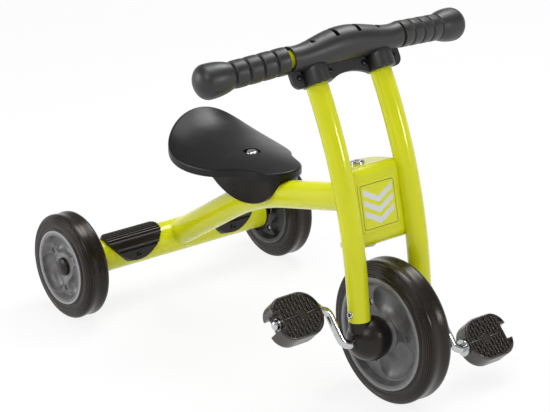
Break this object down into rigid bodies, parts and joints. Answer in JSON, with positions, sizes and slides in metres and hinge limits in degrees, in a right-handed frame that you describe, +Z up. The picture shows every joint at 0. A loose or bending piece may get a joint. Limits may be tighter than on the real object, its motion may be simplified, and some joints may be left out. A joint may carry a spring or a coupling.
{
  "type": "children's tricycle",
  "caption": "Children's pedal tricycle with a bent tube frame, curved twin-tube fork, moulded saddle, rear steps and direct-drive front wheel.",
  "frame": {"origin": "on the floor under the middle of the length and width", "axes": "+X forward, +Y to the rider's left, +Z up"},
  "size_m": [0.679, 0.4564, 0.5006],
  "materials": {
    "lime_powder_coat": "gloss",
    "black_moulded_plastic": "fine_texture",
    "tyre_rubber": "satin",
    "grey_hub_plastic": "satin",
    "bright_chrome": "polished",
    "plain_steel": "satin",
    "white_nylon": "satin",
    "printed_label": "gloss",
    "blackened_steel": "satin"
  },
  "bodies": {
    "frame": {"backbone_tube": "lime_powder_coat", "cross_tube": "lime_powder_coat", "head_tube": "lime_powder_coat", "head_bush_upper": "white_nylon", "head_bush_lower": "white_nylon", "rear_axle": "plain_steel", "rear_retainers": "plain_steel", "axle_plug_left": "black_moulded_plastic", "axle_plug_right": "black_moulded_plastic", "rear_step_left": "black_moulded_plastic", "rear_step_right": "black_moulded_plastic", "step_screws": "blackened_steel", "seat": "black_moulded_plastic", "seat_base": "black_moulded_plastic", "seat_bolt": "bright_chrome", "seat_washer": "plain_steel", "seat_nut": "plain_steel"},
    "fork": {"fork_tube_left": "lime_powder_coat", "fork_tube_right": "lime_powder_coat", "head_bracket": "lime_powder_coat", "badge_plate": "printed_label", "head_bolt": "bright_chrome", "head_nut": "plain_steel", "handlebar_tube": "lime_powder_coat", "grip_left": "black_moulded_plastic", "grip_right": "black_moulded_plastic", "bar_cover_front": "black_moulded_plastic", "bar_cover_rear": "black_moulded_plastic", "cover_screws": "blackened_steel", "axle_housing_left": "black_moulded_plastic", "axle_housing_right": "black_moulded_plastic", "crank_bush_left": "black_moulded_plastic", "crank_bush_right": "black_moulded_plastic", "leg_screws": "bright_chrome"},
    "front_wheel": {"front_tyre": "tyre_rubber", "front_hub_left": "grey_hub_plastic", "front_hub_right": "grey_hub_plastic", "front_hub_screws": "plain_steel", "crank": "bright_chrome", "drive_pin": "plain_steel", "crank_collars": "bright_chrome", "pedal_push_nuts": "bright_chrome"},
    "left_pedal": {"pedal_left": "black_moulded_plastic"},
    "right_pedal": {"pedal_right": "black_moulded_plastic"},
    "left_rear_wheel": {"rear_tyre_left": "tyre_rubber", "rear_hub_outer_left": "grey_hub_plastic", "rear_hub_inner_left": "grey_hub_plastic", "rear_hub_screws_left": "plain_steel", "rear_bush_left": "white_nylon", "rear_cap_left": "black_moulded_plastic"},
    "right_rear_wheel": {"rear_tyre_right": "tyre_rubber", "rear_hub_outer_right": "grey_hub_plastic", "rear_hub_inner_right": "grey_hub_plastic", "rear_hub_screws_right": "plain_steel", "rear_bush_right": "white_nylon", "rear_cap_right": "black_moulded_plastic"}
  },
  "joints": [
    {"name": "steering", "type": "hinge", "parent": "frame", "child": "fork", "pos_m": [0.17451, 0, 0.265], "axis": [-0.2215, 0, 0.9751], "range_deg": [-50, 50]},
    {"name": "front_wheel_spin", "type": "hinge", "parent": "fork", "child": "front_wheel", "pos_m": [0.2395, 0, 0.1], "axis": [0, 1, 0], "continuous": true},
    {"name": "left_pedal_spin", "type": "hinge", "parent": "front_wheel", "child": "left_pedal", "pos_m": [0.26865, 0.145, 0.05336], "axis": [0, 1, 0], "continuous": true},
    {"name": "right_pedal_spin", "type": "hinge", "parent": "front_wheel", "child": "right_pedal", "pos_m": [0.21035, -0.145, 0.14664], "axis": [0, 1, 0], "continuous": true},
    {"name": "left_rear_wheel_spin", "type": "hinge", "parent": "frame", "child": "left_rear_wheel", "pos_m": [-0.2605, 0.191, 0.079], "axis": [0, 1, 0], "continuous": true},
    {"name": "right_rear_wheel_spin", "type": "hinge", "parent": "frame", "child": "right_rear_wheel", "pos_m": [-0.2605, -0.191, 0.079], "axis": [0, 1, 0], "continuous": true}
  ]
}
